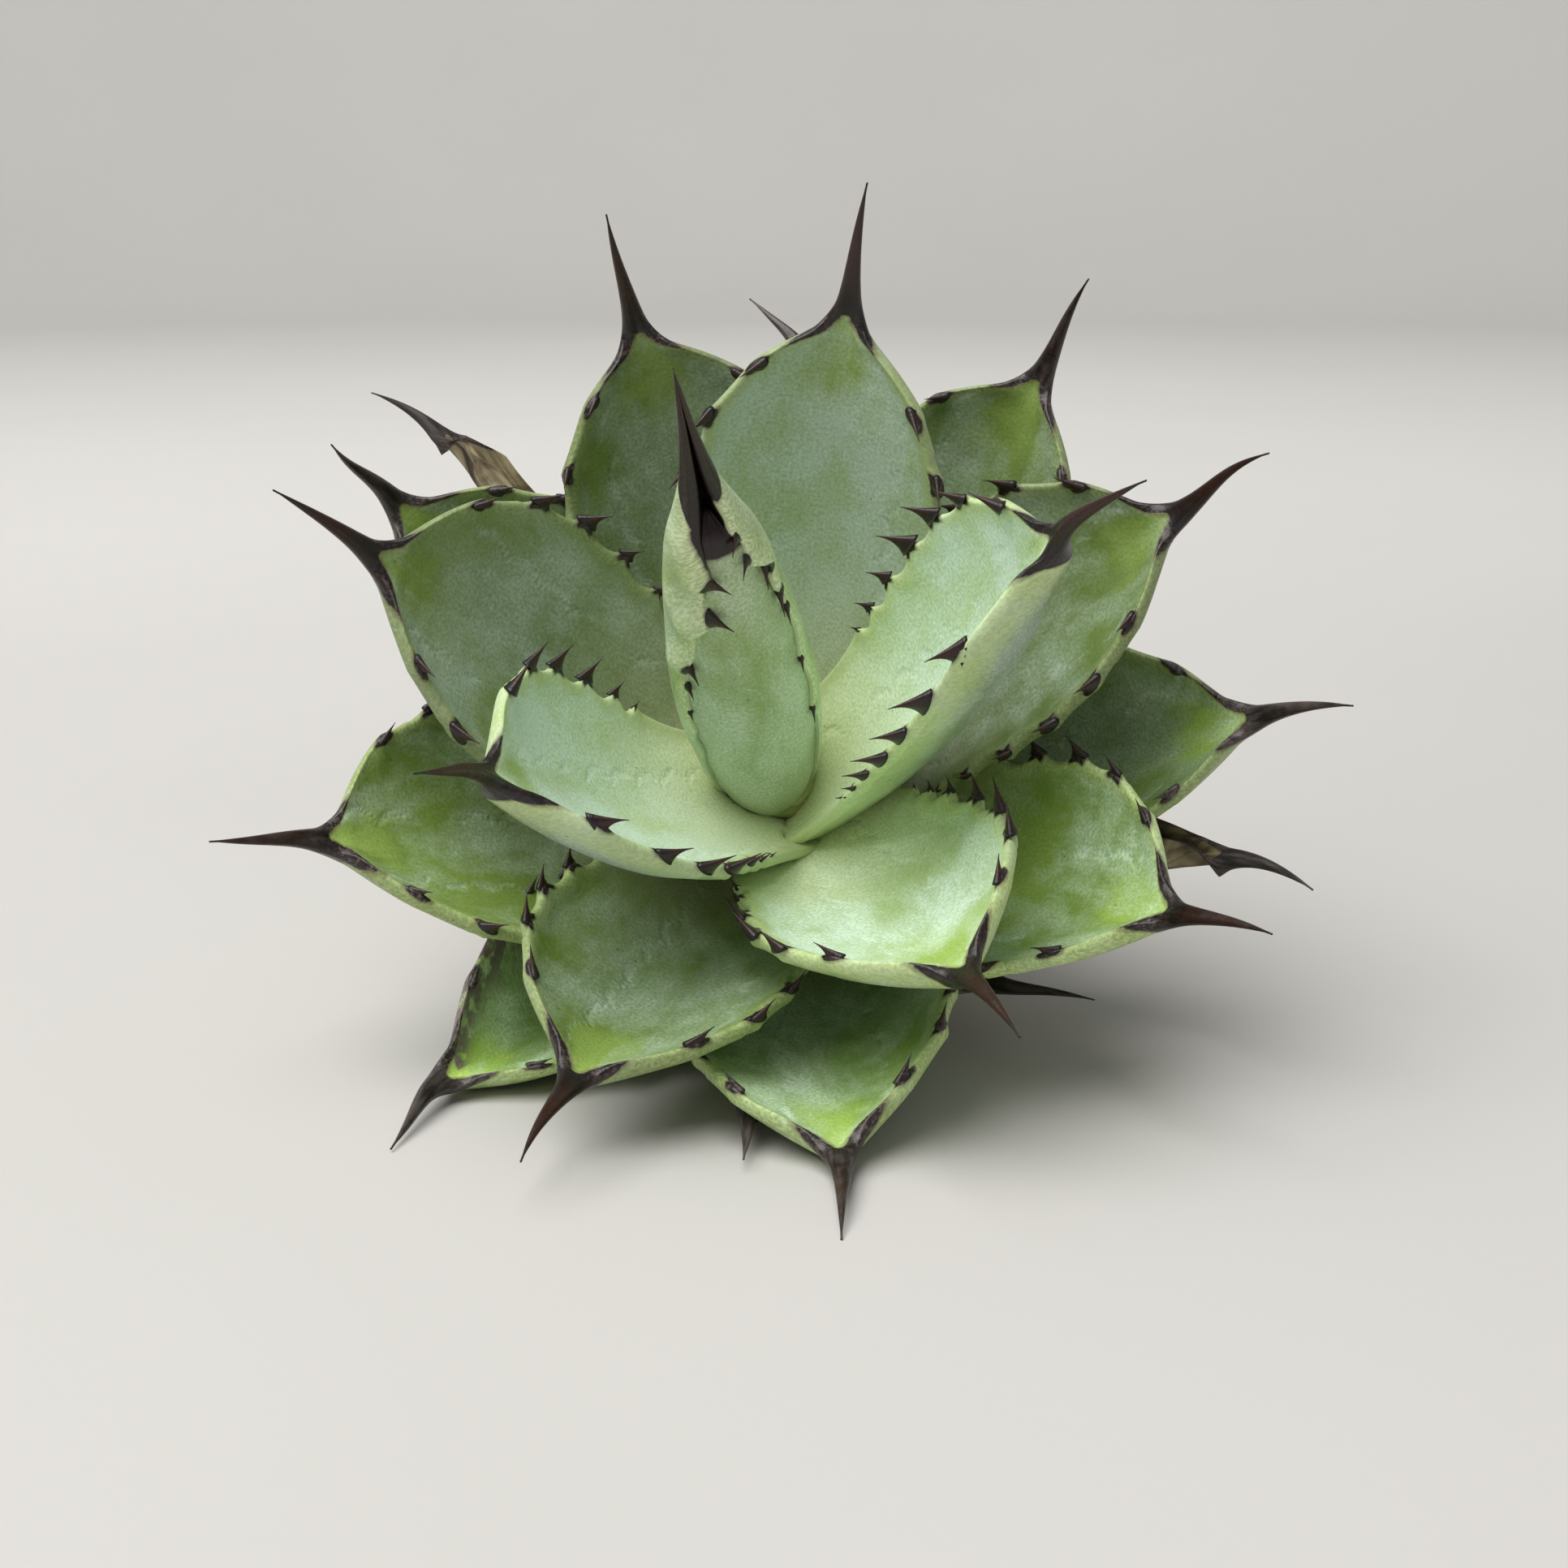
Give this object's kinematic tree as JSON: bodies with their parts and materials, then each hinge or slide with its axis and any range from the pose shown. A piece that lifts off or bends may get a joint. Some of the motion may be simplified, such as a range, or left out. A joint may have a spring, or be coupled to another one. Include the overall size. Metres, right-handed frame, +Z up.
{
  "type": "agave rosette",
  "caption": "Compact agave rosette lifted out of its soil: thick cupped blue-green leaves with dark hooked teeth and long dark end spines round a closed bud, resting tilted on a surface.",
  "frame": {"origin": "bottom centre of the plant's bounding box, on the surface that it rests on", "axes": "+Z up. The rosette's axis rises 40.3 degrees from the surface and points towards -Y, turned 4.9 degrees to -X, so the rosette faces -Y. +X runs across the rosette, along its longest extent"},
  "size_m": [0.1316, 0.1232, 0.1048],
  "materials": {
    "bud": "smooth leaf skin with a thin waxy bloom, pale yellow-green at the edges",
    "young_leaf": "blue-green leaf skin with a pale waxy bloom and faint pale bud prints; purple-black horny teeth and end spine",
    "old_leaf": "duller green leaf skin, corky grey-purple scars along the edges; grey-black teeth and spine",
    "dry_leaf": "shrivelled, fibrous, tan to dark brown",
    "stem": "rough woody stem with leaf scars and trimmed root stubs"
  },
  "bodies": {
    "root": {"bud_leaf_outer": "bud", "bud_leaf_inner": "bud", "leaf_00": "young_leaf", "leaf_01": "young_leaf", "leaf_02": "young_leaf", "leaf_03": "young_leaf", "leaf_04": "young_leaf", "leaf_05": "young_leaf", "leaf_06": "young_leaf", "leaf_07": "young_leaf", "leaf_08": "young_leaf", "leaf_09": "young_leaf", "leaf_10": "young_leaf", "leaf_11": "old_leaf", "leaf_12": "old_leaf", "leaf_13": "old_leaf", "leaf_14": "old_leaf", "leaf_15": "old_leaf", "leaf_16": "old_leaf", "leaf_17": "old_leaf", "leaf_18": "old_leaf", "dry_leaf_19": "dry_leaf", "dry_leaf_20": "dry_leaf", "dry_leaf_21": "dry_leaf", "stem": "stem"}
  },
  "joints": []
}
